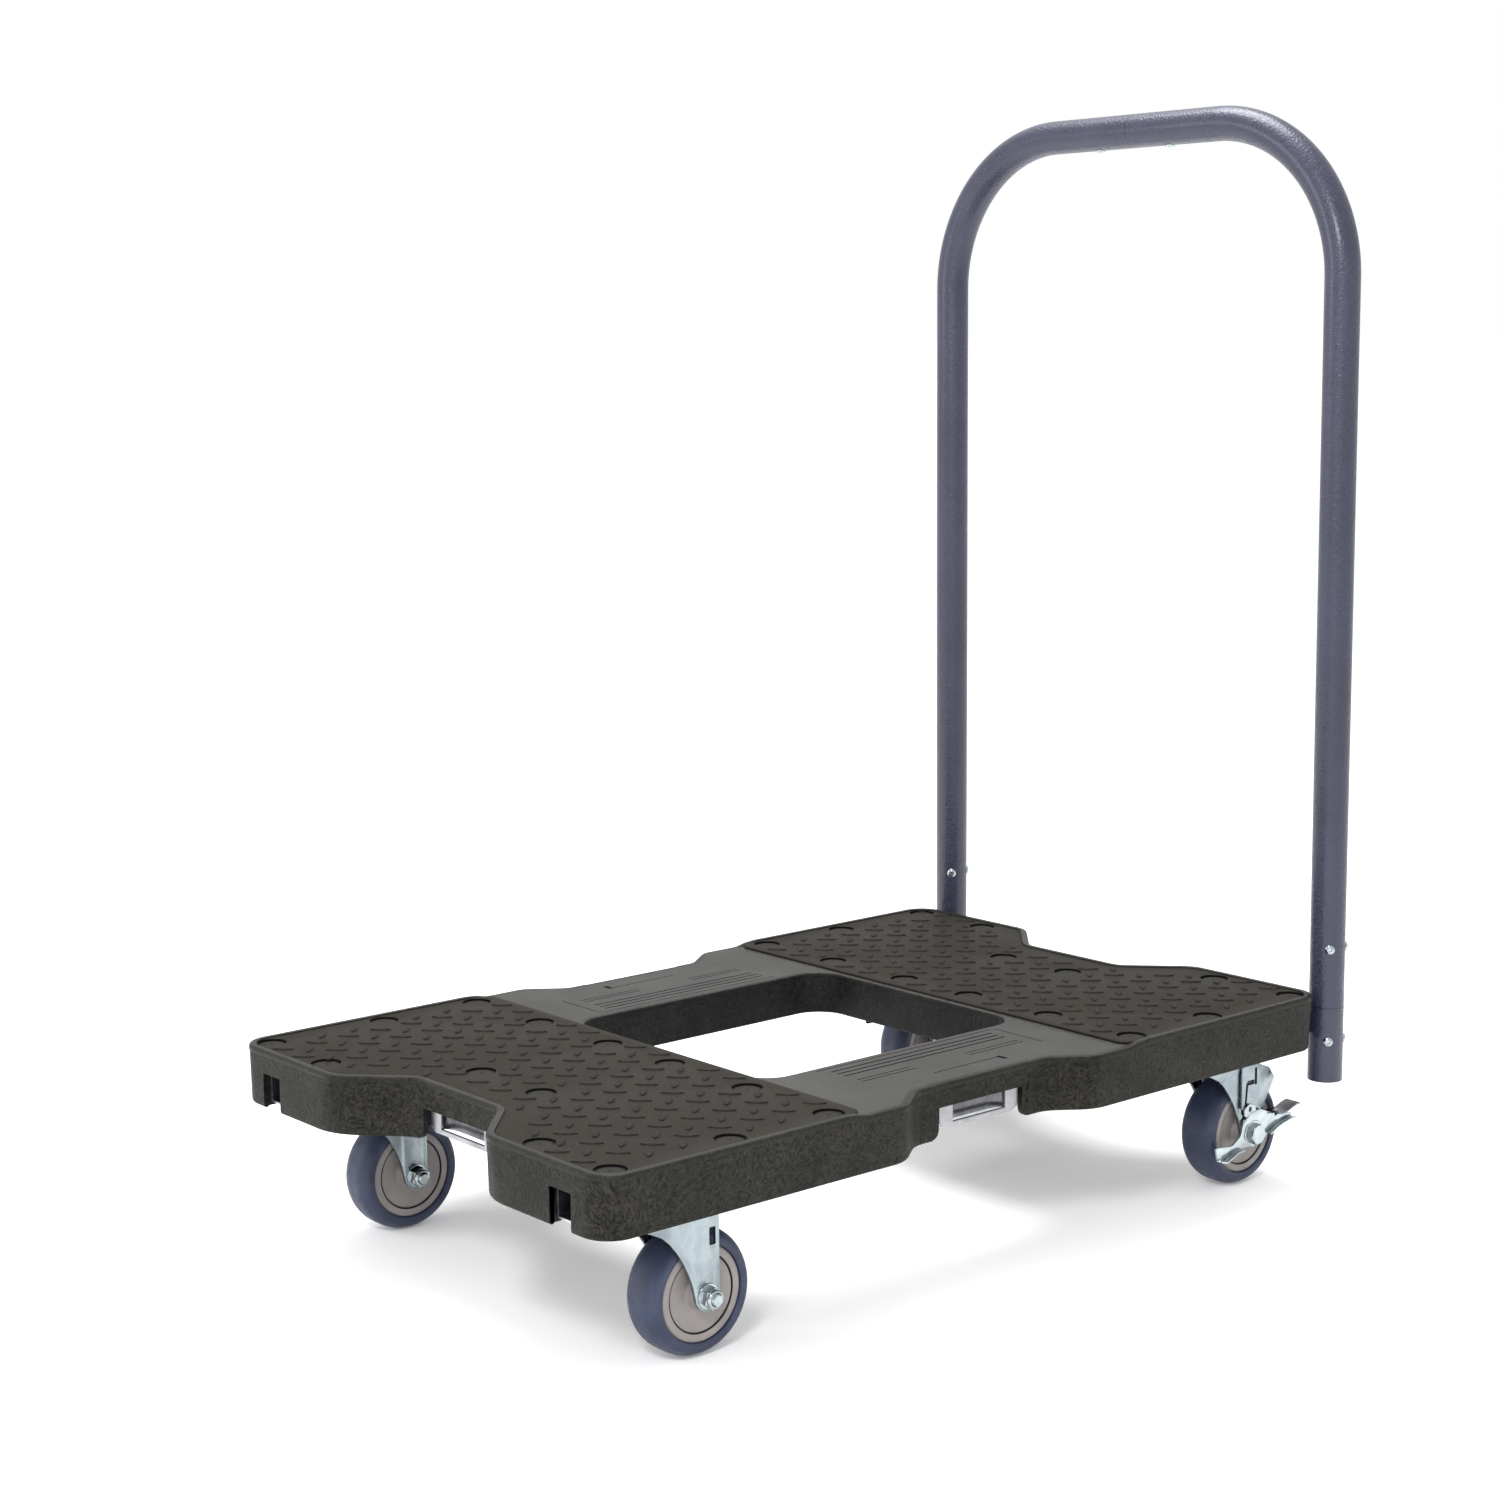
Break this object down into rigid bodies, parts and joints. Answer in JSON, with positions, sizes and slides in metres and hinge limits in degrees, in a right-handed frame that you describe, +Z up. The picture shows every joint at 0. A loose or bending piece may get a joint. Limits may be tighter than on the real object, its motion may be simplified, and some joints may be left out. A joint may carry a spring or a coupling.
{
  "type": "furniture dolly",
  "caption": "Moulded furniture dolly with a central opening, tread pads, slotted strap anchors, swivel casters with side brakes at the rear and a tall tubular push bar.",
  "frame": {"origin": "centre of the bounding box on the floor plane", "axes": "+X along the deck towards the push bar, +Y across the deck to the left of someone facing +X, +Z up"},
  "size_m": [0.8676, 0.5206, 0.9797],
  "materials": {
    "deck_plastic": "coarse moulded grain, semi matte",
    "tread_rubber": "raised tread, matte",
    "zinc_steel": "bright zinc plate",
    "anchor_steel": "satin zinc plate",
    "tyre_rubber": "smooth semi matte",
    "hub_plastic": "satin",
    "bar_paint": "hammertone powder coat"
  },
  "bodies": {
    "deck_frame": {"deck": "deck_plastic", "tread_pad_front": "tread_rubber", "tread_pad_rear": "tread_rubber", "rail_right": "anchor_steel", "rail_left": "anchor_steel", "anchor_front": "anchor_steel", "anchor_rear": "anchor_steel", "anchor_left": "anchor_steel", "anchor_right": "anchor_steel", "mount_plate_front_right": "zinc_steel", "mount_plate_front_left": "zinc_steel", "mount_plate_rear_right": "zinc_steel", "mount_plate_rear_left": "zinc_steel"},
    "caster_front_right": {"fork_front_right": "zinc_steel", "swivel_race_front_right": "zinc_steel", "axle_sleeve_front_right": "zinc_steel", "axle_bolt_front_right": "zinc_steel", "axle_nut_front_right": "zinc_steel"},
    "wheel_front_right": {"wheel_hub_front_right": "hub_plastic", "tyre_front_right": "tyre_rubber"},
    "caster_front_left": {"fork_front_left": "zinc_steel", "swivel_race_front_left": "zinc_steel", "axle_sleeve_front_left": "zinc_steel", "axle_bolt_front_left": "zinc_steel", "axle_nut_front_left": "zinc_steel"},
    "wheel_front_left": {"wheel_hub_front_left": "hub_plastic", "tyre_front_left": "tyre_rubber"},
    "caster_rear_right": {"fork_rear_right": "zinc_steel", "swivel_race_rear_right": "zinc_steel", "axle_sleeve_rear_right": "zinc_steel", "axle_bolt_rear_right": "zinc_steel", "axle_nut_rear_right": "zinc_steel", "brake_plate_rear_right": "zinc_steel"},
    "wheel_rear_right": {"wheel_hub_rear_right": "hub_plastic", "tyre_rear_right": "tyre_rubber"},
    "brake_rear_right": {"brake_lever_rear_right": "zinc_steel"},
    "caster_rear_left": {"fork_rear_left": "zinc_steel", "swivel_race_rear_left": "zinc_steel", "axle_sleeve_rear_left": "zinc_steel", "axle_bolt_rear_left": "zinc_steel", "axle_nut_rear_left": "zinc_steel", "brake_plate_rear_left": "zinc_steel"},
    "wheel_rear_left": {"wheel_hub_rear_left": "hub_plastic", "tyre_rear_left": "tyre_rubber"},
    "brake_rear_left": {"brake_lever_rear_left": "zinc_steel"},
    "push_bar": {"bar_half_left": "bar_paint", "bar_half_right": "bar_paint", "top_sleeve": "anchor_steel", "leg_sleeve_left": "anchor_steel", "leg_sleeve_right": "anchor_steel", "bar_foot_left": "bar_paint", "bar_foot_right": "bar_paint", "screw_lower_left": "zinc_steel", "screw_lower_right": "zinc_steel", "screw_upper_left": "zinc_steel", "screw_upper_right": "zinc_steel", "screw_top_left": "zinc_steel", "screw_top_right": "zinc_steel"}
  },
  "joints": [
    {"name": "swivel_front_right", "type": "hinge", "parent": "deck_frame", "child": "caster_front_right", "pos_m": [-0.34303, -0.2, 0.121], "axis": [0, 0, 1], "continuous": true},
    {"name": "roll_front_right", "type": "hinge", "parent": "caster_front_right", "child": "wheel_front_right", "pos_m": [-0.30902, -0.2, 0.0508], "axis": [0, 1, 0], "continuous": true},
    {"name": "swivel_front_left", "type": "hinge", "parent": "deck_frame", "child": "caster_front_left", "pos_m": [-0.34303, 0.2, 0.121], "axis": [0, 0, 1], "continuous": true},
    {"name": "roll_front_left", "type": "hinge", "parent": "caster_front_left", "child": "wheel_front_left", "pos_m": [-0.30902, 0.2, 0.0508], "axis": [0, 1, 0], "continuous": true},
    {"name": "swivel_rear_right", "type": "hinge", "parent": "deck_frame", "child": "caster_rear_right", "pos_m": [0.30097, -0.2, 0.121], "axis": [0, 0, 1], "continuous": true},
    {"name": "roll_rear_right", "type": "hinge", "parent": "caster_rear_right", "child": "wheel_rear_right", "pos_m": [0.33498, -0.2, 0.0508], "axis": [0, 1, 0], "continuous": true},
    {"name": "brake_rear_right", "type": "hinge", "parent": "caster_rear_right", "child": "brake_rear_right", "pos_m": [0.33498, -0.2, 0.0508], "axis": [0, 1, 0], "range_deg": [0, 22]},
    {"name": "swivel_rear_left", "type": "hinge", "parent": "deck_frame", "child": "caster_rear_left", "pos_m": [0.30097, 0.2, 0.121], "axis": [0, 0, 1], "continuous": true},
    {"name": "roll_rear_left", "type": "hinge", "parent": "caster_rear_left", "child": "wheel_rear_left", "pos_m": [0.33498, 0.2, 0.0508], "axis": [0, 1, 0], "continuous": true},
    {"name": "brake_rear_left", "type": "hinge", "parent": "caster_rear_left", "child": "brake_rear_left", "pos_m": [0.33498, 0.2, 0.0508], "axis": [0, 1, 0], "range_deg": [0, 22]},
    {"name": "push_bar_draw", "type": "slide", "parent": "deck_frame", "child": "push_bar", "axis": [1, 0, 0], "range_m": [0, 0.09]}
  ]
}
